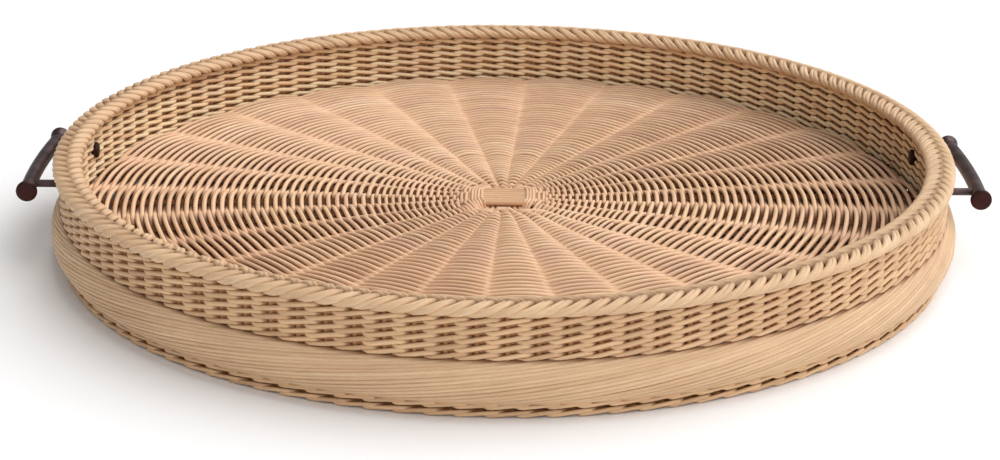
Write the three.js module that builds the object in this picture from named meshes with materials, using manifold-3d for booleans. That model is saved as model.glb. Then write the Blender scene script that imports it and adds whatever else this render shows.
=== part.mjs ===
// A round woven cane serving tray: a floor woven on fourteen crossed rods, an upright
// waled wall with a plaited border, a foot of slanting canes, and two bronze bar handles.
// Millimetres, +Z up, origin at the middle of the tray on the surface it stands on.
import * as THREE from "three";
import { mergeVertices } from "three/addons/utils/BufferGeometryUtils.js";
import Module from "manifold-3d";

const wasm = await Module();
wasm.setup();

// Overall sizes
const borderRadius = 330;
const height = 77.1;
const ringSteps = 56;
const gap = 0.3;

// Base rods: seven lie across (along X) on top of seven that lie along Y
const rodsPerBundle = 7;
const rodRadius = 2;
const rodPitch = 4.3;
const bundleLift = 2.15;
const hubHalf = 15.2;
const fanStart = 14;
const fanEnd = 70;
const fanSteps = 4;
const spokeEnd = 315.5;
const spokeTurn = THREE.MathUtils.degToRad(3);
const spokeCount = rodsPerBundle * 4;
const spokeAngle = (2 * Math.PI) / spokeCount;
const tunnelRadius = rodRadius + 0.4;

// Woven floor
const floorLevel = 27.5;
const floorHalf = 3.7;
const floorHubHalf = 6.6;
const floorRelief = 1.1;
const weaverChange = 100;
const floorRadius = 317.4;

// Wall, border, skirt and foot
const wallInner = 318.2;
const wallOuter = 324.9;
const wallBottom = 20.5;
const wallTop = 66.7;
const rowPitch = 5.8;
const rowRelief = 1.1;
const innerRows = 6;
const outerRows = 5;
const borderWidth = 21.5;
const borderBottom = 66.95;
const footTop = 10.6;

// Handles
const handleLevel = 53;
const handleReach = 347.3;
const barRadius = 5.3;
const barHalf = 57.5;
const bowRadius = 726;
const postSpacing = 94;
const postRadius = 2.75;
const postSocket = 2;
const screwSeat = 314.2;
const screwRadius = 6.1;

const cane = { color: 0xd9b184, roughness: 0.62, metalness: 0 };
const paleCane = { color: 0xe0bd92, roughness: 0.6, metalness: 0 };
const rodCane = { color: 0xd2a878, roughness: 0.65, metalness: 0 };
const bronze = { color: 0x4a3a36, roughness: 0.36, metalness: 0.9 };

// ---- helpers -------------------------------------------------------------------------

const at = (x, y) => new THREE.Vector2(x, y);

// Ring turned about the Z axis from a closed outline of [radius, height] pairs.
function ring(outline) {
  const points = outline.map(([r, z]) => at(r, z));
  points.push(points[0].clone());
  return new THREE.LatheGeometry(points, ringSteps).rotateX(Math.PI / 2);
}

// Solid turned about its own Y axis from an outline that starts and ends on the axis.
function turned(outline, steps) {
  return new THREE.LatheGeometry(
    outline.map(([r, h]) => at(r, h)),
    steps,
  );
}

// Curve that runs straight from node to node, with one step per stretch.
class NodeCurve extends THREE.Curve {
  constructor(nodes) {
    super();
    this.nodes = nodes;
  }
  getUtoTmapping(u) {
    return u;
  }
  getPoint(t, target = new THREE.Vector3()) {
    const last = this.nodes.length - 1;
    const s = THREE.MathUtils.clamp(t, 0, 1) * last;
    const i = Math.min(Math.floor(s), last - 1);
    return target.lerpVectors(this.nodes[i], this.nodes[i + 1], s - i);
  }
}

// Round bar of the given radius along a list of nodes.
function barAlong(nodes, radius, sides) {
  const section = new THREE.Shape();
  for (let k = 0; k < sides; k++) {
    const a = (2 * Math.PI * k) / sides;
    if (k) section.lineTo(radius * Math.cos(a), radius * Math.sin(a));
    else section.moveTo(radius, 0);
  }
  section.closePath();
  return new THREE.ExtrudeGeometry(section, {
    steps: nodes.length - 1,
    extrudePath: new NodeCurve(nodes),
    bevelEnabled: false,
  });
}

function toSolid(geometry) {
  const bare = geometry.clone();
  bare.deleteAttribute("normal");
  bare.deleteAttribute("uv");
  const merged = mergeVertices(bare, 1e-3);
  return new wasm.Manifold(
    new wasm.Mesh({
      numProp: 3,
      vertProperties: merged.attributes.position.array,
      triVerts: new Uint32Array(merged.index.array),
    }),
  );
}

function toGeometry(solid) {
  const mesh = solid.getMesh();
  const geometry = new THREE.BufferGeometry();
  geometry.setAttribute(
    "position",
    new THREE.BufferAttribute(new Float32Array(mesh.vertProperties), 3),
  );
  geometry.setIndex(new THREE.BufferAttribute(mesh.triVerts, 1));
  geometry.computeVertexNormals();
  return geometry;
}

function cut(geometry, cutters) {
  let solid = toSolid(geometry);
  for (const cutter of cutters) solid = solid.subtract(toSolid(cutter));
  return toGeometry(solid);
}

function piece(name, geometry, look) {
  const mesh = new THREE.Mesh(geometry, new THREE.MeshStandardMaterial(look));
  mesh.name = name;
  return mesh;
}

const tray = new THREE.Group();

// ---- base rods -----------------------------------------------------------------------

// One end of a rod: straight in the hub, then bending out to its spoke's direction.
function rodEnd(index, side, level, end) {
  const offset = index * rodPitch;
  const angle =
    side > 0
      ? index * spokeAngle + spokeTurn
      : Math.PI - index * spokeAngle + spokeTurn;
  const out = new THREE.Vector3(Math.cos(angle), Math.sin(angle), 0);
  const from = new THREE.Vector3(side * fanStart, offset, level);
  const to = out.clone().multiplyScalar(fanEnd).setZ(floorLevel);
  const reach = from.distanceTo(to) * 0.36;
  const bend = new THREE.CubicBezierCurve3(
    from,
    from.clone().add(new THREE.Vector3(side * reach, 0, 0)),
    to.clone().sub(out.clone().multiplyScalar(reach)),
    to,
  );
  const nodes = bend.getPoints(fanSteps);
  nodes.push(out.clone().multiplyScalar(end).setZ(floorLevel));
  return nodes;
}

function rodNodes(index, level, end) {
  const left = rodEnd(index, -1, level, end).reverse();
  return left.concat(rodEnd(index, 1, level, end));
}

const tunnels = [];
for (const [bundle, lift, turn] of [
  ["across", bundleLift, 0],
  ["along", -bundleLift, Math.PI / 2],
]) {
  for (let k = 0; k < rodsPerBundle; k++) {
    const index = k - (rodsPerBundle - 1) / 2;
    const level = floorLevel + lift;
    const rod = barAlong(rodNodes(index, level, spokeEnd), rodRadius, 6);
    const mesh = piece(`base_rod_${bundle}_${k + 1}`, rod, rodCane);
    mesh.rotation.z = turn;
    tray.add(mesh);
    const tunnel = barAlong(
      rodNodes(index, level, spokeEnd + 6),
      tunnelRadius,
      6,
    );
    tunnels.push(tunnel.rotateZ(turn));
  }
}

// ---- woven floor ---------------------------------------------------------------------

// Flat ring of weave that swells over each spoke; half-thickness by radius.
function floorRing(stations) {
  const bottom = stations.map(([r, half]) => [r, -half]);
  const top = stations.map(([r, half]) => [r, half]).reverse();
  const geometry = ring(bottom.concat(top));
  const p = geometry.attributes.position;
  for (let i = 0; i < p.count; i++) {
    const r = Math.hypot(p.getX(i), p.getY(i));
    const angle = Math.atan2(p.getY(i), p.getX(i));
    const share = THREE.MathUtils.smoothstep(r, 35, 65);
    const swell = share * floorRelief * Math.cos(spokeCount * angle);
    p.setZ(i, floorLevel + p.getZ(i) + Math.sign(p.getZ(i)) * swell);
  }
  return geometry.rotateZ(spokeTurn);
}

const innerWeave = floorRing([
  [13, floorHubHalf],
  [32, floorHubHalf - 0.2],
  [62, floorHalf + 0.5],
  [weaverChange - gap / 2, floorHalf],
]);
const outerWeave = floorRing([
  [weaverChange + gap / 2, floorHalf],
  [floorRadius, floorHalf],
]);
const hubOpening = new THREE.BoxGeometry(2 * hubHalf, 2 * hubHalf, 40);
hubOpening.translate(0, 0, floorLevel);
tray.add(piece("floor_weave_inner", cut(innerWeave, [hubOpening, ...tunnels]), cane));
tray.add(piece("floor_weave_outer", cut(outerWeave, tunnels), cane));

// ---- wall ----------------------------------------------------------------------------

// Rows of waling stand proud of the wall as rounded ridges, inside and out.
const wallOutline = [
  [wallInner, wallBottom],
  [wallOuter, wallBottom],
];
for (let row = outerRows; row > 0; row--) {
  const foot = wallTop - row * rowPitch;
  wallOutline.push([wallOuter, foot], [wallOuter + rowRelief, foot + rowPitch / 2]);
}
wallOutline.push([wallOuter, wallTop]);
wallOutline.push([wallInner, wallTop]);
for (let row = 1; row <= innerRows; row++) {
  const foot = wallTop - row * rowPitch;
  wallOutline.push([wallInner - rowRelief, foot + rowPitch / 2], [wallInner, foot]);
}

// Each post passes through the wall, and its screw head sits in a shallow seat.
const wallCutters = [];
for (const side of [-1, 1]) {
  for (const y of [-postSpacing / 2, postSpacing / 2]) {
    const bore = new THREE.CylinderGeometry(postRadius + gap, postRadius + gap, 40, 16);
    bore.rotateZ(Math.PI / 2).translate(side * 322, y, handleLevel);
    const seat = new THREE.CylinderGeometry(screwRadius + 0.4, screwRadius + 0.4, 20, 16);
    seat.rotateZ(Math.PI / 2).translate(side * (screwSeat - 10), y, handleLevel);
    wallCutters.push(bore, seat);
  }
}
tray.add(piece("wall_weave", cut(ring(wallOutline), wallCutters), cane));

// ---- plaited border ------------------------------------------------------------------

const borderHeight = height - borderBottom;
const borderMiddle = borderRadius - borderWidth / 2;
const borderOutline = [];
for (let k = 0; k < 12; k++) {
  const a = (2 * Math.PI * k) / 12;
  const r = borderMiddle + (borderWidth / 2) * Math.cos(a);
  const z = borderBottom + (borderHeight / 2) * (1 + Math.sin(a));
  borderOutline.push([r, z]);
}
tray.add(piece("border_plait", ring(borderOutline), paleCane));

// ---- foot ----------------------------------------------------------------------------

// Skirt of slanting canes: a bulging shell that hides the gap under the wall.
const skirtOutline = [
  [327, footTop + gap],
  [330.2, 13],
  [332.8, 17],
  [334, 22],
  [333.4, 27.5],
  [331.4, 32.6],
  [328.4, 37.2],
  [325.6, 37.2],
  [328.6, 32],
  [330.5, 27],
  [331, 22.2],
  [329.9, 17.8],
  [327.4, 14],
  [323.6, footTop + gap],
];
tray.add(piece("foot_skirt", ring(skirtOutline), paleCane));

// Two rows of waling that the tray stands on.
const footOutline = [
  [322, 0],
  [325, 0],
  [326.4, 2.7],
  [325.3, 5.3],
  [326.4, 7.9],
  [325.2, footTop],
  [322, footTop],
  [320.8, 7.9],
  [321.9, 5.3],
  [320.8, 2.7],
];
tray.add(piece("foot_wale", ring(footOutline), cane));

// ---- handles -------------------------------------------------------------------------

// Turned end cap: a short neck that flares into a rounded button.
const capOutline = [
  [0, 0],
  [5.4, 0],
  [5.7, 2.4],
  [6.7, 5.2],
  [7.6, 6.6],
  [7.6, 8.8],
  [6.9, 9.6],
  [0, 9.6],
];
// Screw head inside the wall: a low dome.
const screwOutline = [
  [0, 0],
  [screwRadius, 0],
  [screwRadius, 1.2],
  [4.4, 2.5],
  [0, 3],
];

const bow = (y) => handleReach - (y * y) / (2 * bowRadius);

for (const [side, turn] of [
  ["right", 0],
  ["left", Math.PI],
]) {
  const handle = new THREE.Group();
  handle.rotation.z = turn;
  handle.position.z = handleLevel;

  const nodes = [];
  for (let k = 0; k <= 8; k++) {
    const y = barHalf * (k / 4 - 1);
    nodes.push(new THREE.Vector3(bow(y), y, 0));
  }
  const sockets = [];
  for (const y of [-postSpacing / 2, postSpacing / 2]) {
    const socketEnd = bow(y) - barRadius + postSocket + gap;
    const socket = new THREE.CylinderGeometry(postRadius + gap, postRadius + gap, 12, 16);
    sockets.push(socket.rotateZ(Math.PI / 2).translate(socketEnd - 6, y, 0));
  }
  handle.add(piece(`handle_bar_${side}`, cut(barAlong(nodes, barRadius, 14), sockets), bronze));

  for (const end of [-1, 1]) {
    // The group's turn swaps front and back on the left side.
    const place = end * (turn ? -1 : 1) < 0 ? "front" : "back";
    const lean = barHalf / bowRadius;

    const cap = piece(`end_cap_${side}_${place}`, turned(capOutline, 18), bronze);
    cap.position.set(bow(barHalf) - gap * lean, end * (barHalf + gap), 0);
    cap.rotation.z = end > 0 ? lean : Math.PI - lean;
    handle.add(cap);

    const y = (end * postSpacing) / 2;
    const inner = screwSeat + gap;
    const outer = bow(y) - barRadius + postSocket;
    const shaft = new THREE.CylinderGeometry(postRadius, postRadius, outer - inner, 16);
    const post = piece(`post_${side}_${place}`, shaft.rotateZ(Math.PI / 2), bronze);
    post.position.set((inner + outer) / 2, y, 0);
    handle.add(post);

    const head = turned(screwOutline, 18).rotateZ(Math.PI / 2);
    const screw = piece(`screw_head_${side}_${place}`, head, bronze);
    screw.position.set(screwSeat - gap / 2, y, 0);
    handle.add(screw);
  }
  tray.add(handle);
}

export default tray;
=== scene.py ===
import math
import random

import bpy
import numpy as np
from mathutils import Matrix, Vector


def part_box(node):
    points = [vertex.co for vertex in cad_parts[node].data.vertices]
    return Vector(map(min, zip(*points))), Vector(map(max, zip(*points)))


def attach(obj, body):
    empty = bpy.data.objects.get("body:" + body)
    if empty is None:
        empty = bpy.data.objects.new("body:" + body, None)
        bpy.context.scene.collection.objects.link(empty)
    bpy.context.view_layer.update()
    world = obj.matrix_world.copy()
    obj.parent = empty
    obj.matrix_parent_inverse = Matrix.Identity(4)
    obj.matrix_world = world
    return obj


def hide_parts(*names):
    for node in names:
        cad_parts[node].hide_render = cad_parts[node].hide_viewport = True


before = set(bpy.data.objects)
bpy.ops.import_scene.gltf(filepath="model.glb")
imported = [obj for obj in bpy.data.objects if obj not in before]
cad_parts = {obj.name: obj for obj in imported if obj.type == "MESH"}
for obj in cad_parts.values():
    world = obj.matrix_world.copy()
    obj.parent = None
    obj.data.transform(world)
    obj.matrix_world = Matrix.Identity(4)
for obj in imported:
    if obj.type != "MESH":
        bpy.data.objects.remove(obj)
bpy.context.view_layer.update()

mm = 0.001
fullTurn = 2 * math.pi


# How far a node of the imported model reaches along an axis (0, 1 or 2), in millimetres.
def reachOf(node, axis):
    lowest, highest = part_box(node)
    return round(lowest[axis] / mm, 3), round(highest[axis] / mm, 3)


def middleOf(node, axis):
    lowest, highest = reachOf(node, axis)
    return (lowest + highest) / 2


# the whole tray, in millimetres
tray = {
    "spokes": 28,
    "spokeTurn": math.radians(3),
    "stakes": 106,
    "stakeRing": 321.6,
    "stakeTurn": math.radians(0.6),
    "floorLevel": middleOf("floor_weave_outer", 2),
}


# woven canes: every cane is a round tube swept along its own path

def smoothStep(x):
    x = np.clip(x, 0, 1)
    return x * x * (3 - 2 * x)


def polar(radius, angle, height):
    radius, angle, height = np.broadcast_arrays(radius, angle, height)
    return np.stack([radius * np.cos(angle), radius * np.sin(angle), height], -1)


# A smooth wander round the ring, the same after a full turn.
def waves(rng, angle, size, orders):
    total = 0 * angle
    for order in orders:
        total = total + math.sin(rng.uniform(0, 6.28)) * np.sin(order * angle + rng.uniform(0, fullTurn))
    return size * total / len(orders) ** 0.5


# The angles of the points of a plain ring.
roundTray = np.arange(220) * fullTurn / 220


def scatter(rng, count, size):
    return np.array([rng.uniform(-size, size) for _ in range(count)])


# The rings of points that make one cane's tube.
def tubeRings(points, radius, closed, spin):
    if closed:
        tangent = np.roll(points, -1, 0) - np.roll(points, 1, 0)
    else:
        tangent = np.gradient(points, axis=0)
    tangent /= np.linalg.norm(tangent, axis=1)[:, None]
    outward = points * [1, 1, 0]
    outward /= np.maximum(np.linalg.norm(outward, axis=1), 1e-9)[:, None]
    steep = np.abs(tangent[:, 2]) > 0.93
    up = np.where(steep[:, None], outward, np.array([0, 0, 1.0]))
    across = np.cross(tangent, up)
    across /= np.linalg.norm(across, axis=1)[:, None]
    over = np.cross(across, tangent)
    radii = (np.zeros(len(points)) + radius)[:, None, None] * mm
    return (points[:, None]
            - over[:, None] * np.cos(spin)[None, :, None] * radii
            + across[:, None] * np.sin(spin)[None, :, None] * radii)


# The quads of a tube and their UVs, u running along the cane in metres and v once round it.
def tubeSkin(points, first, sides, closed, shift):
    count = len(points)
    step = np.linalg.norm(np.diff(points, axis=0), axis=1)
    along = np.concatenate([[0], np.cumsum(step)])
    last = count if closed else count - 1
    i = np.arange(last)[:, None]
    k = np.arange(sides)[None, :]
    nextRing, nextSide = (i + 1) % count, (k + 1) % sides
    ring, ringOn = first + i * sides, first + nextRing * sides
    faces = [np.stack([ring + k, ringOn + k, ringOn + nextSide, ring + nextSide], -1).reshape(-1, 4)]
    if closed:
        along = np.append(along, along[-1] + step[-1])
    u0 = along[:last][:, None] + 0 * k + shift
    u1 = along[1:last + 1][:, None] + 0 * k + shift
    v0 = (k + 0 * i) / sides
    v1 = v0 + 1 / sides
    uvs = [np.stack([np.stack([u0, v0], -1), np.stack([u1, v0], -1),
                     np.stack([u1, v1], -1), np.stack([u0, v1], -1)], 2).reshape(-1, 2)]
    if not closed:       # close both ends
        for corner, order in ((first, 1), (first + (count - 1) * sides, -1)):
            loop = [corner + n for n in range(sides)][::order]
            for n in range(1, sides - 1, 2):
                faces.append(np.array([[loop[0], loop[n], loop[n + 1], loop[n + 2]]]))
                uvs.append(np.tile([[shift, 0.5]], (4, 1)))
    return faces, uvs


# How much painted shade each point of a tube gets, 0 to 1, from the side of the weave it faces: the side
# turned into the weave is painted darker.
def paintedShadeOf(lift, spin, upright):
    facing = np.sin(spin)[None, :] if upright else -np.cos(spin)[None, :]
    strength = 1.0 if upright else np.abs(lift)[:, None]
    return smoothStep(0.5 - 0.8 * lift[:, None] * facing) * strength


def caneMesh(name, canes, sides, material, nodes=(), upright=False):
    # canes: list of (points in mm, radius or radii in mm, tint 0..1, closed ring or not) and,
    # where a cane dips out of sight, how far up (1) or down (-1) it is at each point, which sets its painted
    # shade;
    # in upright weaving that is how far out (1) or in (-1)
    verts, faces, uvs, tints, hollows = [], [], [], [], []
    first = 0
    spin = np.arange(sides) * fullTurn / sides
    for points, radius, tint, closed, *lift in canes:
        points = np.asarray(points, float) * mm
        count = len(points)
        tint = np.zeros(count) + tint
        verts.append(tubeRings(points, radius, closed, spin).reshape(-1, 3))
        shade = np.repeat(tint, sides).reshape(count, sides)
        if upright:      # painted light: the inward face of each cane of the wall and foot is painted paler, over its own tint
            shade = 0.4 * shade + 0.6 * smoothStep(0.5 - np.sin(spin))[None, :]
        tints.append(shade.ravel())
        lift = np.zeros(count) + (lift[0] if lift else 0)
        hollows.append(paintedShadeOf(lift, spin, upright).ravel())
        # each cane reads its fibres from another place
        skin, places = tubeSkin(points, first, sides, closed, 7 * tint[0])
        faces += skin
        uvs += places
        first += count * sides
    faces = np.concatenate(faces)
    mesh = bpy.data.meshes.new(name)
    mesh.from_pydata(np.concatenate(verts).tolist(), [], faces.tolist())
    layer = mesh.uv_layers.new(name="alongCane")
    layer.data.foreach_set("uv", np.concatenate(uvs).astype(np.float32).ravel())
    for label, values in (("caneTint", tints), ("canePaintedShade", hollows)):
        layer = mesh.attributes.new(label, "FLOAT", "POINT")
        layer.data.foreach_set("value", np.concatenate(values).astype(np.float32))
    mesh.polygons.foreach_set("use_smooth", np.ones(len(faces), bool))
    mesh.validate()
    mesh.materials.append(material)
    piece = bpy.data.objects.new(name, mesh)
    bpy.context.scene.collection.objects.link(piece)
    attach(piece, "root")
    if nodes:
        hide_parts(*nodes)


# floor: fourteen crossed rods, and pairs of canes that pass over and under them

rods = {
    "radius": 2.0, "pitchAcross": 4.6, "pitchAlong": 4.05, "bundleLift": 2.15,
    # they run straight through the crossing, then fan out, and "pull" sets how softly they bend
    "straight": 14, "fanEnd": 46, "pull": 0.4, "bendSteps": 15, "reach": 315.5, "seed": 3,
    # painted shade on their upper side from here on, where the weaving covers them
    "coveredFrom": 22, "coveredIn": 20,
}
floor = {
    # level is the distance from the middle at which a round of weaving runs, apart is how far the two
    # canes of a round lie to either side of it, and the wraps are cut to end out of sight
    "wraps": {"start": 15.2, "end": 24.4, "rounds": 4, "arms": (0, 0, 0, 0, 0, 0, 0), "count": 1,
              "cane": 1.15, "apart": 0, "closer": 0, "steps": 6, "cut": 8.5},
    "groups": {"start": 25.0, "end": 32.2, "rounds": 2, "arms": (0, 0, 1, 1, 1, 2, 2), "count": 3,
               "cane": 1.25, "apart": 0.9, "closer": 1, "steps": 6},
    "inner": {"start": 32.8, "end": 99.3, "rounds": 13, "arms": (0, 1, 2, 3, 4, 5, 6), "count": 7,
              "cane": 1.42, "apart": 1.28, "closer": 1, "steps": 6},
    "outer": {"start": 99.7, "end": 315.0, "rounds": 33, "arms": (0, 1, 2, 3, 4, 5, 6), "count": 7,
              "cane": 1.78, "apart": 1.62, "closer": 1, "steps": 8},
    "squareness": 5.0, "squareEnd": 46.0, "seed": 11,
    # uneven hand work: slow wander of a round, slip of each crossing, thicker and thinner stretches
    "wander": 0.18, "slip": 0.28, "uneven": 0.03,
    # over whole bundles the change of side starts this much of a spoke early, over single ones it is quick
    "spread": 0.45, "snap": 0.08,
    # how many turns of the tray a cane lasts, from and to
    "lasts": (0.5, 2.4),
    # on the near and far sides the weaving starts closer in, hard against the crossing
    "closer": 7.5, "closerFrom": 16.0, "closerEnd": 62.0,
    # the canes press this far into the rods
    "sink": 1.3,
    # the painted shade in the hollows: how strong on the near and far sides, and from which level it comes in
    "paintedShade": 0.3, "paintedShadeFrom": 24, "paintedShadeIn": 30,
}


# One rod from the middle outwards, arm 0..3 counted from +X.
def halfRod(number, arm):
    across = arm % 2 == 0
    pitch = rods["pitchAcross"] if across else rods["pitchAlong"]
    flip = -1 if arm > 1 else 1      # the far half of a rod lies on the other side of its arm
    side = flip * number * pitch
    startLift = rods["bundleLift"] if across else -rods["bundleLift"]
    turn = flip * number * fullTurn / tray["spokes"] + tray["spokeTurn"]
    start = np.array([rods["straight"], side])
    ray = np.array([math.cos(turn), math.sin(turn)])
    end = rods["fanEnd"] * ray
    pull = rods["pull"] * np.linalg.norm(end - start)
    t = np.linspace(0, 1, rods["bendSteps"])[:, None]
    bend = ((1 - t) ** 3 * start + 3 * t * (1 - t) ** 2 * (start + [pull, 0])
            + 3 * t * t * (1 - t) * (end - pull * ray) + t ** 3 * end)
    straight = np.stack([np.linspace(0, rods["straight"], 4)[:-1], np.full(3, side)], -1)
    reach = np.linspace(rods["fanEnd"], rods["reach"], 9)[1:, None] * ray
    flat = np.concatenate([straight, bend, reach])
    rise = np.concatenate([np.ones(3), 1 - smoothStep(t[:, 0]), np.zeros(8)])
    height = tray["floorLevel"] + startLift * rise
    angle = arm * math.pi / 2
    cos, sin = math.cos(angle), math.sin(angle)
    return np.stack([flat[:, 0] * cos - flat[:, 1] * sin,
                     flat[:, 0] * sin + flat[:, 1] * cos, height], -1)


def squareness(distance):
    start = floor["wraps"]["start"]
    blend = smoothStep((distance - start) / (floor["squareEnd"] - start))
    return floor["squareness"] + (2 - floor["squareness"]) * blend


# How much closer in a round runs at an angle, for its size before the shift.
def closer(size, angle):
    fade = 1 - smoothStep((size - floor["closerFrom"]) / (floor["closerEnd"] - floor["closerFrom"]))
    return floor["closer"] * np.sin(angle) ** 6 * fade


# How far out a point lies, measured on the rounded squares that ease into circles.
def levelOf(points):
    power = squareness(np.hypot(points[:, 0], points[:, 1]))
    size = (np.abs(points[:, 0]) ** power + np.abs(points[:, 1]) ** power) ** (1 / power)
    return size + closer(size, np.arctan2(points[:, 1], points[:, 0]))


# For each spoke in turn: its level, angle and height along its length.
def crossings():
    table = []
    for spoke in range(tray["spokes"]):
        arm, number = (spoke + 3) // 7 % 4, (spoke + 3) % 7
        path = halfRod((number - 3) * (-1 if arm > 1 else 1), arm)
        fine = np.concatenate([np.linspace(a, b, 12, endpoint=False) for a, b in zip(path[2:-1], path[3:])]
                              + [path[-1:]])
        angle = np.arctan2(fine[:, 1], fine[:, 0])
        nominal = spoke * fullTurn / tray["spokes"]
        angle = nominal + (angle - nominal + math.pi) % fullTurn - math.pi
        table.append((levelOf(fine), angle, fine[:, 2]))
    return table


spokeTable = crossings()


# Angle and height of spokes at levels, both arrays; spokes past one turn keep counting up.
def spokeAt(spoke, level):
    angle, height = np.zeros(len(spoke)), np.zeros(len(spoke))
    for k in range(tray["spokes"]):
        here = spoke % tray["spokes"] == k
        levels, angles, heights = spokeTable[k]
        angle[here] = np.interp(level[here], levels, angles)
        height[here] = np.interp(level[here], levels, heights)
    return angle + (spoke // tray["spokes"]) * fullTurn, height


# The post a spoke belongs to: single spokes, or the bundles that the first rounds go over whole.
def postOf(zone, spoke):
    return ((spoke + 3) // 7) * zone["count"] + np.array(zone["arms"])[(spoke + 3) % 7]


# Over which side of the rods a cane lies, at n spokes from the start: its height is the cosine.
def sidePhase(zone, half, n, before):
    if zone["count"] < 7:
        spread = floor["spread"]
        lower = np.floor(n + spread).astype(int) - 1
        stage = 0
        for j in range(3):
            moved = smoothStep((n - (lower + j) + spread) / (1 + 2 * spread))
            stage = stage + (postOf(zone, lower + j + 1) - postOf(zone, lower + j)) * moved
        return math.pi * (postOf(zone, lower) + stage + half)
    step = postOf(zone, before + 1) - postOf(zone, before)
    phase = math.pi * (postOf(zone, before) + step * (n - before) + half)
    return phase - floor["snap"] * np.sin(2 * phase)


# The distance from the middle of points at these levels and angles.
def distanceOf(zone, level, angle):
    distance, size = level.copy(), level.copy()
    for _ in range(8):
        size = level - zone["closer"] * closer(size, angle)
        power = squareness(distance)
        shape = (np.abs(np.cos(angle)) ** power + np.abs(np.sin(angle)) ** power) ** (1 / power)
        distance = size / shape
    return distance


# A new cane, of another tint, is joined in under a spoke, where the old one runs out.
def joinedTints(zone, half, n, rng):
    total = zone["rounds"] * tray["spokes"]
    joins = [k for k in range(total) if (postOf(zone, k - 3) + half) % 2 == 1]
    tint, at = np.zeros(len(n)), -3
    while at < total:
        length = rng.randint(*(int(tray["spokes"] * turns) for turns in floor["lasts"]))
        ends = [k for k in joins if k >= at + 3 + length]
        stop = (ends[0] - 3) if ends else total
        tint[(n >= at) & (n <= stop)] = rng.random()
        at = stop if stop > at else total
    return tint


# One of the two canes of a round, over each post that the other goes under; half is 0 or 1.
def pairedCane(zone, half, rng):
    total = zone["rounds"] * tray["spokes"]
    cut = zone.get("cut", 0)
    n = -3 + cut + np.arange((total - 1.5 * cut) * zone["steps"] // 1 + 1) / zone["steps"]
    level = zone["start"] + (zone["end"] - zone["start"]) * (n + 3) / total
    before = np.floor(n + 1e-9).astype(int)
    part = n - before
    angleA, heightA = spokeAt(before, level)
    angleB, heightB = spokeAt(before + 1, level)
    angle = angleA + (angleB - angleA) * part
    middle = heightA + (heightB - heightA) * smoothStep(part)
    phase = sidePhase(zone, half, n, before)
    wander = waves(rng, angle, floor["wander"], (2, 5, 9, 14))
    spots = scatter(rng, total + 3, floor["slip"])
    slip = spots[before + 3] * (1 - part) + spots[before + 4] * part
    levelOut = level + (zone["apart"] if half else -zone["apart"]) + (wander + slip) * (level / 320 + 0.15)
    clear = rods["radius"] + zone["cane"] - floor["sink"]
    points = polar(distanceOf(zone, levelOut, angle), angle, middle + clear * np.cos(phase))
    tint = joinedTints(zone, half, n, rng)
    # the painted shade in the hollows is darkest out on the right and left, where the gaps show most
    sideways = floor["paintedShade"] + (1 - floor["paintedShade"]) * np.cos(angle) ** 2
    lift = np.cos(phase) * smoothStep((level - floor["paintedShadeFrom"]) / floor["paintedShadeIn"]) * sideways
    thick = zone["cane"] * (1 + waves(rng, angle * 0.37, floor["uneven"], (7, 11, 19)))
    return points, thick, tint, False, lift


def makeFloor(materials):
    rng = random.Random(rods["seed"])
    for family, arm in (("across", 0), ("along", 1)):
        for number in range(1, 8):
            offset = number - 4
            far = halfRod(offset, arm + 2)[::-1]
            path = np.concatenate([far, halfRod(offset, arm)[1:]])
            distance = np.hypot(path[:, 0], path[:, 1])
            # painted shade on the upper side of the rods, where the weaving covers them
            shadedWhereCovered = -smoothStep((distance - rods["coveredFrom"]) / rods["coveredIn"])
            caneMesh(f"rod_{family}_{number}", [(path, rods["radius"], rng.random(), False, shadedWhereCovered)], 10,
                     materials["rod"], nodes=[f"base_rod_{family}_{number}"])
    print("rods done")
    rng = random.Random(floor["seed"])
    middle = [pairedCane(floor["wraps"], 0, rng)]
    middle += [pairedCane(floor[zone], half, rng) for zone in ("groups", "inner") for half in (0, 1)]
    caneMesh("floor_paired_inner", middle, 8, materials["floor"], nodes=["floor_weave_inner"])
    for half, name in ((0, "first"), (1, "second")):
        nodes = ["floor_weave_outer"] if half == 0 else []
        caneMesh(f"floor_paired_outer_{name}", [pairedCane(floor["outer"], half, rng)], 8,
                 materials["floor"], nodes=nodes)
    print("floor weaving done")


# wall and foot: stakes and three-cane waling

wall = {
    # over its way past three stakes a cane comes out at "out" (from there, in so many stakes), and at each of
    # "turns" it has climbed by "rise"
    "rows": 8, "top": reachOf("wall_weave", 2)[1], "pitch": 5.8, "cane": 1.76,
    "inside": 318.3, "outside": 324.6,
    "out": (0.5, 0.5), "turns": (0, 0.5, 0.92, 2.08, 2.5, 3), "rise": (0, 1.5, -2.2, 2.2, -1.5, 0),
    "stakeRadius": (1.5, 2.0), "stakeBottom": 12.0, "stakeTop": 70.5, "packing": (321.7, 1.35), "steps": 8,
    # how sharply a cane turns from lit to shaded as it goes through the wall
    "show": 1.25,
    # all rows and the skirt's edge rise and fall together: seed and height
    "sway": (5, 0.45), "stakeSlip": 0.0006, "seed": 21,
}
foot = {
    "rows": 2, "pitch": 5.2, "top": reachOf("foot_wale", 2)[1] - 0.1, "cane": 1.45,
    "inside": 319.6, "outside": 325.0,
    "out": (0.5, 0.42), "turns": (0, 0.5, 0.9, 2.1, 2.5, 3), "rise": (0, 0.3, -1.2, 1.2, -0.3, 0),
    "stakeRadius": 1.2, "stakeBottom": 0.9, "stakeTop": 12.5, "ring": 322.4,
    "steps": 8, "show": 1.1, "sway": (9, 0.12), "seed": 27,
}


# uneven hand work in both, and how many canes, joined where, make up a row
waling = {"slip": 0.16, "uneven": 0.04, "pieces": 11, "shades": 40, "joinAt": 0.83}


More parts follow.
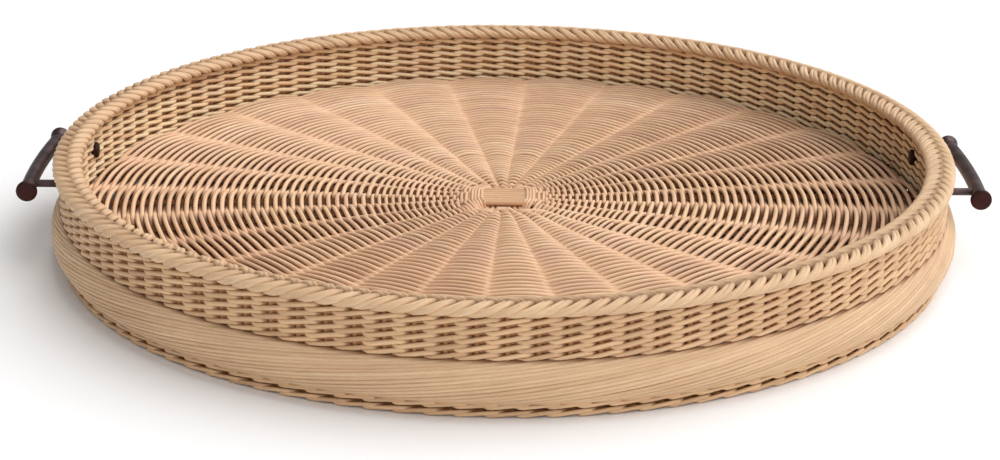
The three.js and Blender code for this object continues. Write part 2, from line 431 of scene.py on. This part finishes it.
# Three canes, each in front of two stakes and behind one; 106 stakes make them one endless cane.
def waleRow(spec, row, rng, sway):
    stakes = tray["stakes"]
    s = np.arange(3 * stakes * spec["steps"]) / spec["steps"]
    u = s % 3
    angle = tray["stakeTurn"] + s * fullTurn / stakes
    start, length = spec["out"]
    outer = smoothStep((u - start) / length) - smoothStep((u - 3 + start + length) / length)
    radius = spec["inside"] + (spec["outside"] - spec["inside"]) * outer
    rise = np.interp(u, spec["turns"], spec["rise"])
    rise = (np.roll(rise, 1) + 2 * rise + np.roll(rise, -1)) / 4
    spots = scatter(rng, 3 * stakes + 1, waling["slip"])
    spots[-1] = spots[0]
    before = s.astype(int)
    part = s - before
    slip = spots[before] * (1 - part) + spots[before + 1] * part
    height = spec["top"] - (row + 0.5) * spec["pitch"] + rise + slip + sway(angle)
    change = [rng.random() for _ in range(waling["shades"])]
    joint = sorted(rng.uniform(0, 3 * stakes) for _ in range(waling["pieces"]))
    tint = np.array([change[np.searchsorted(joint, math.floor(x / 3 + waling["joinAt"]) * 3)] for x in s])
    bulge = np.interp(before, np.arange(len(spots)), spots)
    thick = spec["cane"] * (1 + waling["uneven"] * bulge / waling["slip"])
    # painted shade on the side of each cane that faces the wall's middle, as it goes in and out
    lift = np.clip((2 * outer - 1) * spec["show"], -1, 1)
    return polar(radius + slip * 0.5, angle, height), thick, tint, True, lift


# A slow rise and fall of the rows round the tray, the same each time it is asked.
def swayOf(seed, size):
    def sway(angle):
        return waves(random.Random(seed), angle, size, (2, 3, 5, 7))
    return sway


def makeWall(materials):
    rng = random.Random(wall["seed"])
    sway = swayOf(*wall["sway"])
    rows = [waleRow(wall, row, rng, sway) for row in range(wall["rows"])]
    caneMesh("wall_waling_upper", rows[:4], 8, materials["cane"], nodes=["wall_weave"], upright=True)
    caneMesh("wall_waling_lower", rows[4:], 8, materials["cane"], upright=True)
    stakes = []
    for k in range(2 * tray["stakes"]):      # a second stake stands between each two
        slip = rng.uniform(-wall["stakeSlip"], wall["stakeSlip"])
        angle = tray["stakeTurn"] + k * math.pi / tray["stakes"] + slip
        height = np.linspace(wall["stakeBottom"], wall["stakeTop"], 5)
        radius = wall["stakeRadius"][k % 2]
        stakes.append((polar(tray["stakeRing"], angle, height), radius, rng.random(), False))
    caneMesh("wall_stakes", stakes, 8, materials["shadedCane"])
    # a thin packing cane runs between each two rows, inside the wall
    radius, thick = wall["packing"]
    packing = []
    for row in range(wall["rows"]):
        height = wall["top"] - row * wall["pitch"] + sway(roundTray)
        packing.append((polar(radius, roundTray, height), thick, rng.random(), True))
    caneMesh("wall_packing", packing, 6, materials["shadedCane"])
    print("wall done")


def makeFoot(materials):
    rng = random.Random(foot["seed"])
    rows = [waleRow(foot, row, rng, swayOf(*foot["sway"])) for row in range(foot["rows"])]
    caneMesh("foot_waling", rows, 8, materials["cane"], nodes=["foot_wale"], upright=True)
    stakes = []
    for k in range(tray["stakes"]):
        angle = tray["stakeTurn"] + k * fullTurn / tray["stakes"]
        height = np.linspace(foot["stakeBottom"], foot["stakeTop"], 3)
        stakes.append((polar(foot["ring"], angle, height), foot["stakeRadius"], rng.random(), False))
    caneMesh("foot_stakes", stakes, 6, materials["shadedCane"])
    print("foot done")


# skirt: long slanting canes between wall and foot

skirt = {
    "canes": 106, "bottom": 10.4, "top": 37.8, "span": math.radians(41), "cane": 1.6, "steps": 30,
    "seed": 31,
    # uneven hand work: where a cane starts, how far it leans, how it stands out and wriggles
    "slip": 0.004, "lean": 0.01, "proud": (-0.2, 0.12), "bow": 0.2, "uneven": (0.9, 1.06),
    # outer surface of the band from the foot up: heights, and how far inside its widest line it lies there
    "widest": reachOf("foot_skirt", 0)[1],
    "height": (7.5, 10.9, 13, 17, 22, 27.5, 32.6, 36.6, 40.0),
    "within": (9.4, 7, 3.8, 1.2, 0, 0.6, 2.6, 5.6, 9.4),
}


def makeSkirt(materials):
    rng = random.Random(skirt["seed"])
    canes = []
    sway = swayOf(*wall["sway"])
    for k in range(skirt["canes"]):
        start = k * fullTurn / skirt["canes"] + rng.uniform(-skirt["slip"], skirt["slip"])
        lean = skirt["span"] * rng.uniform(1 - skirt["lean"], 1 + skirt["lean"])
        t = np.linspace(-0.06, 1.05, skirt["steps"])
        angle = start + lean * t
        rise = 0.55 * t + 0.45 * np.sin(t * math.pi / 2)
        height = skirt["bottom"] + (skirt["top"] - skirt["bottom"]) * rise
        height = height + sway(angle) * smoothStep(t)
        proud = rng.uniform(*skirt["proud"])
        surface = skirt["widest"] - np.interp(height, skirt["height"], skirt["within"])
        bow = skirt["bow"] * np.sin(t * math.pi * rng.uniform(2, 4) + rng.uniform(0, 6))
        radius = surface - skirt["cane"] + proud * np.sin(np.clip(t, 0, 1) * math.pi) + bow * 0.4
        thick = skirt["cane"] * rng.uniform(*skirt["uneven"])
        # painted shade at the top end of each cane, where it goes in under the wall
        shadedUnderWall = -smoothStep((t - 0.9) / 0.12)
        canes.append((polar(radius, angle, height), thick, rng.random(), False, shadedUnderWall))
    caneMesh("skirt_canes", canes, 6, materials["pale"], nodes=["foot_skirt"])
    print("skirt done")


# border: a plait of bars, each of two canes, laid over a core

border = {
    "centre": reachOf("border_plait", 0)[1] - 10.75, "level": reachOf("border_plait", 2)[1] - 5.95,
    "bars": 170, "halfWidth": 8.7, "halfHeight": 3.6, "cane": 2.05, "pair": 3.3, "innerPair": 1.15,
    "steps": 18, "seed": 41,
    # where a bar starts on the rim's section and how far it goes round it, in degrees, how far it runs
    # along the rim on its way, and from what part of its way it tucks in at the crest
    "outer": {"from": -118, "turn": 232, "advance": 28, "dive": 0.82},
    "inner": {"from": 298, "turn": -236, "advance": 22, "dive": 0.85},
    # a cane sinks this far in at its start and at its end, and one of each two lies a little lower
    "sinkStart": 2.0, "sinkEnd": 2.6, "sinkSecond": 0.3, "crown": 0.35, "hook": 2.0, "shaded": 0.85,
    "slip": 0.25, "uneven": 0.05, "coreRadius": 1.9, "core": ((314.4, 70.2), (319.2, 70.2), (324.0, 70.2)),
}


# One cane of a bar: it comes up from under the edge, leans over the face and tucks in at the crest.
def plaitBar(outward, bar, offset, rng):
    t = np.linspace(0, 1, border["steps"])
    way = border["outer"] if outward else border["inner"]
    section, advance, dive = np.radians(way["from"] + way["turn"] * t), way["advance"], way["dive"]
    ramp = np.clip((t - 0.2) / 0.74, 0, 1)
    run = advance * (0.75 * ramp + 0.25 * smoothStep(ramp))
    hook = border["hook"] * (1 - smoothStep(t / 0.25))
    gather = 0.3 + 0.7 * smoothStep((t - 0.14) / 0.36) - 0.55 * smoothStep((t - 0.7) / 0.28)
    sunk = (border["sinkStart"] * (1 - smoothStep(t / 0.22))
            + border["sinkEnd"] * smoothStep((t - dive) / (1 - dive))
            - border["crown"] * np.exp(-((t - 0.62) / 0.16) ** 2)
            + (border["sinkSecond"] if offset < 0 else 0))
    width = border["halfWidth"] - sunk
    tall = border["halfHeight"] - sunk * 0.9
    radius = border["centre"] + width * np.cos(section)
    height = border["level"] + tall * np.sin(section)
    start = bar * fullTurn / border["bars"] + (0 if outward else math.pi / border["bars"])
    slide = offset * gather + run + hook + rng.uniform(-border["slip"], border["slip"])
    angle = start + (slide - advance) / border["centre"]
    # painted shade at both ends of each bar, where it goes in under the plait
    shadedWhereCovered = smoothStep(1 - t / 0.36) + smoothStep((t - 0.76) / 0.2)
    return polar(radius, angle, height), -border["shaded"] * shadedWhereCovered


def makeBorder(materials):
    rng = random.Random(border["seed"])
    for outward, name in ((True, "outer"), (False, "inner")):
        canes = []
        for bar in range(border["bars"]):
            shade = rng.random()
            for offset in (-border["pair"] / 2, border["pair"] / 2):
                points, lift = plaitBar(outward, bar, offset * (1 if outward else border["innerPair"]), rng)
                tint = min(1, max(0, shade + rng.uniform(-0.12, 0.12)))
                thick = border["cane"] * rng.uniform(1 - border["uneven"], 1 + border["uneven"])
                canes.append((points, thick, tint, False, lift))
        nodes = ["border_plait"] if outward else []
        caneMesh(f"border_{name}_bars", canes, 8, materials["pale"], nodes=nodes)
    core = [(polar(radius, roundTray, height), border["coreRadius"], 0.0, True)
            for radius, height in border["core"]]
    # the core is in the darker cane, as painted shade under the bars
    caneMesh("border_core", core, 8, materials["shadedCane"])
    print("border done")


# handles, modelled as by hand

handle = {
    "level": middleOf("handle_bar_right", 2), "reach": 346.3, "bow": 700.0, "barHalf": 55.5,
    "barRadius": reachOf("handle_bar_right", 2)[1] - middleOf("handle_bar_right", 2),
    "postAt": 46.0, "postFrom": 315.5, "headAt": 314.2, "headLevel": 48.5,
    # radius and height of each turn of the cap, from the bar to its end face
    "cap": ((5.5, 0), (5.95, 0.5), (5.95, 1.5), (5.5, 2.0), (5.75, 2.9), (6.6, 4.7), (7.35, 6.2),
            (7.62, 7.1), (7.62, 8.7), (7.4, 9.3), (6.9, 9.65), (5.2, 9.9), (2.6, 10.05)),
    "head": ((5.9, -1.5), (6.1, -1.2), (6.1, 1.6), (5.8, 2.5), (5.0, 3.05), (3.4, 3.35)),
    "post": ((2.75, 0), (2.75, 24), (2.8, 27.2), (3.1, 29.2), (3.5, 30.6)),
    "barSides": 28, "barSteps": 26, "capSides": 36, "postSides": 24, "headSides": 32,
    # the lacquered end faces lie past this distance from the middle, in metres
    "lacquerFrom": 0.055,
}


def startFresh():
    if bpy.context.mode != "OBJECT":
        bpy.ops.object.mode_set(mode="OBJECT")
    bpy.ops.object.select_all(action="DESELECT")


# Leaves the piece at the origin, unturned, faces outward and smooth.
def finishPiece(name):
    piece = bpy.context.object
    bpy.ops.object.transform_apply(location=True, rotation=True, scale=True)
    bpy.ops.object.mode_set(mode="EDIT")
    bpy.ops.mesh.select_all(action="SELECT")
    bpy.ops.mesh.remove_doubles(threshold=0.00001)
    bpy.ops.mesh.normals_make_consistent(inside=False)
    bpy.ops.object.mode_set(mode="OBJECT")
    bpy.ops.object.shade_smooth_by_angle(angle=math.radians(40))
    piece.name = piece.data.name = name
    return piece


# A round piece drawn out ring by ring from a disc, its own +Z then laid along axis.
def turned(name, profile, place, axis, sides):
    startFresh()
    radius, low = profile[0]
    bpy.ops.mesh.primitive_circle_add(vertices=sides, radius=radius * mm, fill_type="NGON",
                                      location=(0, 0, low * mm))
    bpy.ops.object.mode_set(mode="EDIT")
    bpy.ops.mesh.select_all(action="SELECT")
    for (before, below), (after, above) in zip(profile, profile[1:]):
        bpy.ops.mesh.extrude_region_move(TRANSFORM_OT_translate={"value": (0, 0, (above - below) * mm)})
        share = after / before
        bpy.ops.transform.resize(value=(share, share, 1), center_override=(0, 0, above * mm))
    bpy.ops.object.mode_set(mode="OBJECT")
    piece = bpy.context.object
    bpy.ops.object.transform_apply(location=True, rotation=False, scale=False)
    piece.rotation_euler = Vector(axis).to_track_quat("Z", "Y").to_euler()
    piece.location = Vector(place) * mm
    return finishPiece(name)


# A ring of the bar's own radius, spun along the bow between the two caps.
def bowedBar(name, side):
    startFresh()
    half = math.asin(handle["barHalf"] / handle["bow"])
    centre = Vector((handle["reach"] - handle["bow"], 0, handle["level"])) * mm
    radius = handle["bow"] * mm
    place = centre + Vector((math.cos(half), -math.sin(half), 0)) * radius
    bpy.ops.mesh.primitive_circle_add(vertices=handle["barSides"], radius=handle["barRadius"] * mm,
                                      fill_type="NGON", location=place, rotation=(math.pi / 2, 0, -half))
    bpy.ops.object.mode_set(mode="EDIT")
    bpy.ops.mesh.select_all(action="SELECT")
    bpy.ops.mesh.spin(steps=handle["barSteps"], angle=-2 * half, center=centre, axis=(0, 0, 1))
    bpy.ops.object.mode_set(mode="OBJECT")
    piece = finishPiece(name)
    if side < 0:      # the left bar is the same one, turned about the middle of the tray
        piece.rotation_euler = (0, 0, math.pi)
        bpy.ops.object.transform_apply(location=False, rotation=True, scale=False)
    return piece


# The cap, post and screw head at one end of a bar: each with its finish and the node it stands for.
def handleEnd(side, end, where, half):
    level, post = handle["level"], end * handle["postAt"]
    capAt = handle["reach"] - handle["bow"] * (1 - math.cos(half))
    cap = turned(f"cap_{where}", handle["cap"], (side * capAt, end * handle["barHalf"], level),
                 (-side * math.sin(half), end * math.cos(half), 0), handle["capSides"])
    stem = turned(f"post_{where}", handle["post"], (side * handle["postFrom"], post, level),
                  (side, 0, 0), handle["postSides"])
    head = turned(f"screw_{where}", handle["head"], (side * handle["headAt"], post, handle["headLevel"]),
                  (-side, 0, 0), handle["headSides"])
    return [(cap, "cap", f"end_cap_{where}"), (stem, "bronze", f"post_{where}"),
            (head, "head", f"screw_head_{where}")]


def makeHandles(materials):
    half = math.asin(handle["barHalf"] / handle["bow"])
    for side, sideName in ((1, "right"), (-1, "left")):
        pieces = [(bowedBar(f"bar_{sideName}", side), "bronze", f"handle_bar_{sideName}")]
        for end, endName in ((-1, "front"), (1, "back")):
            pieces += handleEnd(side, end, f"{sideName}_{endName}", half)
        for piece, finish, node in pieces:
            piece.data.materials.clear()
            piece.data.materials.append(materials["bronze" if finish == "cap" else finish])
            if finish == "cap":      # the end face has kept its red lacquer
                piece.data.materials.append(materials["cap"])
                for face in piece.data.polygons:
                    outermost = abs(face.center.y) > handle["lacquerFrom"]
                    face.material_index = int(abs(face.normal.y) > 0.75 and outermost)
            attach(piece, "root")
            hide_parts(node)
    print("handles done")


# finishes

canes = {
    # how fine the fibres and the slow stains are, along a cane and round it, and the patches over the tray
    "fibres": (55, 7, 1), "stains": (9, 1.2, 1), "patches": 14,
    "patchTones": ((0.35, (0.93, 0.9, 0.88, 1)), (0.65, (1.0, 1.0, 0.97, 1))),
    "stainTones": ((0.3, (0.9, 0.86, 0.8, 1)), (0.7, (1.04, 1.02, 1.0, 1))),
    "rough": (0.42, 0.68), "gloss": 0.3, "relief": 0.25, "reliefDepth": 0.0003,
    # painted shade colours where a cane faces into the weave: the darker one for most canes, the lighter one
    # for wall and foot
    "paintedShade": (104, 62, 34), "wallPaintedShade": (152, 100, 58),
    # the tints of each kind of cane; on the wall the last ones are the inward face's, painted paler as
    # painted light
    "peeled": ((214, 177, 142), (230, 195, 157), (230, 193, 153), (255, 225, 186), (255, 236, 200)),
    "floor": ((230, 190, 160), (242, 204, 171), (236, 198, 163), (244, 210, 177), (234, 194, 167)),
    "pale": ((220, 186, 152), (229, 197, 162), (223, 190, 156), (231, 201, 168)),
    # painted shade: stakes, packing and the plait's core get these darker tints, for the shade they stand in
    "shadedCane": ((192, 140, 98), (206, 152, 108), (198, 146, 102)),
    "rod": ((216, 174, 138), (226, 186, 150), (220, 180, 142)),
}
bronze = {"patina": 70, "tooth": 900, "metal": 0.75, "relief": 0.12, "reliefDepth": 0.0002}


def linear(channel):
    return ((channel / 255 + 0.055) / 1.055) ** 2.4 if channel > 10 else channel / 3295


def srgb(red, green, blue):
    return linear(red), linear(green), linear(blue), 1


def startMaterial(name):
    material = bpy.data.materials.new(name)
    material.use_nodes = True
    nodes = material.node_tree.nodes
    return material, nodes, material.node_tree.links.new, nodes["Principled BSDF"]


def addNoise(nodes, scale, detail=2, roughness=0.5):
    noise = nodes.new("ShaderNodeTexNoise")
    noise.inputs["Scale"].default_value = scale
    noise.inputs["Detail"].default_value = detail
    noise.inputs["Roughness"].default_value = roughness
    return noise


def addRamp(nodes, stops):
    ramp = nodes.new("ShaderNodeValToRGB")
    while len(ramp.color_ramp.elements) < len(stops):
        ramp.color_ramp.elements.new(0.5)
    for element, (position, color) in zip(ramp.color_ramp.elements, stops):
        element.position, element.color = position, color
    return ramp


def addRange(nodes, least, most):
    spread = nodes.new("ShaderNodeMapRange")
    spread.inputs["To Min"].default_value = least
    spread.inputs["To Max"].default_value = most
    return spread


def addMix(nodes, blend="MIX"):
    mix = nodes.new("ShaderNodeMix")
    mix.data_type, mix.blend_type = "RGBA", blend
    return mix


def addRelief(nodes, strength, depth):
    relief = nodes.new("ShaderNodeBump")
    relief.inputs["Strength"].default_value = strength
    relief.inputs["Distance"].default_value = depth
    return relief


# Peeled cane: each cane its own tint, long fibres along it, slow patches over the tray, and painted shade
# where it dips out of sight, with less gloss there.
def caneMaterial(name, tints, fibre=0.2, paintedShadeTint=canes["paintedShade"]):
    material, nodes, link, shader = startMaterial(name)
    tint, paintedShade = nodes.new("ShaderNodeAttribute"), nodes.new("ShaderNodeAttribute")
    tint.attribute_name, paintedShade.attribute_name = "caneTint", "canePaintedShade"
    uv = nodes.new("ShaderNodeUVMap")
    uv.uv_map = "alongCane"
    place = nodes.new("ShaderNodeTexCoord")
    fibres = addNoise(nodes, 1.0, 4, 0.6)
    stains = addNoise(nodes, 1.0)
    for noise, scale in ((fibres, canes["fibres"]), (stains, canes["stains"])):
        stretch = nodes.new("ShaderNodeMapping")
        stretch.inputs["Scale"].default_value = scale
        link(uv.outputs["UV"], stretch.inputs["Vector"])
        link(stretch.outputs["Vector"], noise.inputs["Vector"])
    patches = addNoise(nodes, canes["patches"])
    link(place.outputs["Object"], patches.inputs["Vector"])
    tinted = addRamp(nodes, [(n / (len(tints) - 1), srgb(*colour)) for n, colour in enumerate(tints)])
    link(tint.outputs["Fac"], tinted.inputs["Fac"])
    colour = tinted.outputs["Color"]
    for noise, tones in ((patches, canes["patchTones"]), (stains, canes["stainTones"])):
        tone, mix = addRamp(nodes, tones), addMix(nodes, "MULTIPLY")
        mix.inputs["Factor"].default_value = 1.0
        link(noise.outputs["Fac"], tone.inputs["Fac"])
        link(colour, mix.inputs[6])
        link(tone.outputs["Color"], mix.inputs[7])
        colour = mix.outputs[2]
    streak = addRange(nodes, 1 - fibre, 1 + fibre * 0.35)
    streak.inputs["From Min"].default_value = 0.3
    streak.inputs["From Max"].default_value = 0.7
    streaked = nodes.new("ShaderNodeVectorMath")
    streaked.operation = "SCALE"
    link(fibres.outputs["Fac"], streak.inputs["Value"])
    link(colour, streaked.inputs[0])
    link(streak.outputs["Result"], streaked.inputs["Scale"])
    # painted shade: the colour is mixed towards a dark brown, and the gloss taken away, where a cane faces
    # into the weave
    shaded = addMix(nodes)
    shaded.inputs[7].default_value = srgb(*paintedShadeTint)
    gloss = addRange(nodes, canes["gloss"], 0)
    rough = addRange(nodes, *canes["rough"])
    relief = addRelief(nodes, canes["relief"], canes["reliefDepth"])
    link(paintedShade.outputs["Fac"], shaded.inputs["Factor"])
    link(streaked.outputs["Vector"], shaded.inputs[6])
    link(shaded.outputs[2], shader.inputs["Base Color"])
    link(paintedShade.outputs["Fac"], gloss.inputs["Value"])
    link(gloss.outputs["Result"], shader.inputs["Specular IOR Level"])
    link(fibres.outputs["Fac"], rough.inputs["Value"])
    link(rough.outputs["Result"], shader.inputs["Roughness"])
    link(fibres.outputs["Fac"], relief.inputs["Height"])
    link(relief.outputs["Normal"], shader.inputs["Normal"])
    return material


# Oil-rubbed bronze: brown patina with lighter rubbed patches and a fine tooth.
def bronzeMaterial(name, dark, light, roughness):
    material, nodes, link, shader = startMaterial(name)
    place = nodes.new("ShaderNodeTexCoord")
    patina = addNoise(nodes, bronze["patina"], 5)
    tooth = addNoise(nodes, bronze["tooth"])
    rubbed = addRamp(nodes, ((0.35, srgb(*dark)), (0.7, srgb(*light))))
    rough = addRange(nodes, roughness - 0.08, roughness + 0.1)
    relief = addRelief(nodes, bronze["relief"], bronze["reliefDepth"])
    link(place.outputs["Object"], patina.inputs["Vector"])
    link(place.outputs["Object"], tooth.inputs["Vector"])
    link(patina.outputs["Fac"], rubbed.inputs["Fac"])
    link(rubbed.outputs["Color"], shader.inputs["Base Color"])
    link(patina.outputs["Fac"], rough.inputs["Value"])
    link(rough.outputs["Result"], shader.inputs["Roughness"])
    link(tooth.outputs["Fac"], relief.inputs["Height"])
    link(relief.outputs["Normal"], shader.inputs["Normal"])
    shader.inputs["Metallic"].default_value = bronze["metal"]
    return material


def makeMaterials():
    return {
        "cane": caneMaterial("peeled cane", canes["peeled"], paintedShadeTint=canes["wallPaintedShade"]),
        "floor": caneMaterial("floor cane", canes["floor"]),
        "pale": caneMaterial("pale cane", canes["pale"], fibre=0.14),
        "shadedCane": caneMaterial("shaded cane", canes["shadedCane"]),
        "rod": caneMaterial("rod cane", canes["rod"], fibre=0.16),
        "bronze": bronzeMaterial("rubbed bronze", (58, 44, 44), (104, 84, 84), 0.4),
        "cap": bronzeMaterial("red brown bronze", (48, 22, 20), (76, 36, 32), 0.42),
        "head": bronzeMaterial("dark bronze", (34, 22, 18), (58, 40, 32), 0.5),
    }


# studio

camera = {"lens": 78.1, "distance": 1.639, "height": 20.435, "pitch": 20.338, "yaw": 0.054, "roll": 0.504,
          "shiftX": -0.0011}
light = {
    "sky": 0.28,
    "key": {"power": 2.85, "spread": 75, "turn": (-14, 33, 0)},
    "fill": {"power": 1.1, "spread": 60, "turn": (58, 30, 0)},
}
# white paper, painted darker under the tray as painted shade, where little light gets in: the ring is a
# distance in metres
paper = {"size": 9, "white": (0.93, 0.93, 0.935, 1), "shade": (124, 88, 60), "ring": (0.306, 0.322)}


def makeCamera():
    data = bpy.data.cameras.new("camera")
    data.lens, data.sensor_width = camera["lens"], 36
    eye = bpy.data.objects.new("camera", data)
    bpy.context.scene.collection.objects.link(eye)
    rise = math.radians(camera["height"])
    away = camera["distance"]
    place = Vector((camera["shiftX"], -away * math.cos(rise), away * math.sin(rise)))
    eye.matrix_world = (Matrix.Translation(place)
                        @ Matrix.Rotation(math.radians(camera["yaw"]), 4, "Z")
                        @ Matrix.Rotation(math.radians(90 - camera["pitch"]), 4, "X")
                        @ Matrix.Rotation(math.radians(camera["roll"]), 4, "Z"))
    bpy.context.scene.camera = eye


def paperMaterial():
    material, nodes, link, shader = startMaterial("white paper")
    place = nodes.new("ShaderNodeTexCoord")
    far = nodes.new("ShaderNodeVectorMath")
    far.operation = "LENGTH"
    inner, outer = paper["ring"]
    # painted shade: dark brown inside the foot ring, fading to white paper just outside it
    shade = addRamp(nodes, ((inner, srgb(*paper["shade"])), (outer, paper["white"])))
    link(place.outputs["Object"], far.inputs[0])
    link(far.outputs["Value"], shade.inputs["Fac"])
    link(shade.outputs["Color"], shader.inputs["Base Color"])
    shader.inputs["Roughness"].default_value = 0.9
    shader.inputs["Specular IOR Level"].default_value = 0.1
    return material


def makeStudio():
    startFresh()
    bpy.ops.mesh.primitive_plane_add(size=paper["size"], location=(0, 0, 0))
    ground = bpy.context.object
    ground.name = "studio_floor"
    ground.data.materials.append(paperMaterial())
    world = bpy.data.worlds.new("studio")
    bpy.context.scene.world = world
    world.use_nodes = True
    world.node_tree.nodes["Background"].inputs["Color"].default_value = (1, 1, 1, 1)
    world.node_tree.nodes["Background"].inputs["Strength"].default_value = light["sky"]
    for name in ("key", "fill"):
        data = bpy.data.lights.new(name, "SUN")
        data.energy, data.angle = light[name]["power"], math.radians(light[name]["spread"])
        lamp = bpy.data.objects.new(name, data)
        lamp.rotation_euler = [math.radians(angle) for angle in light[name]["turn"]]
        bpy.context.scene.collection.objects.link(lamp)
    bpy.context.scene.view_settings.view_transform = "Standard"
    print("studio done")


makeCamera()
materials = makeMaterials()
makeFloor(materials)
makeWall(materials)
makeFoot(materials)
makeSkirt(materials)
makeBorder(materials)
makeHandles(materials)
makeStudio()
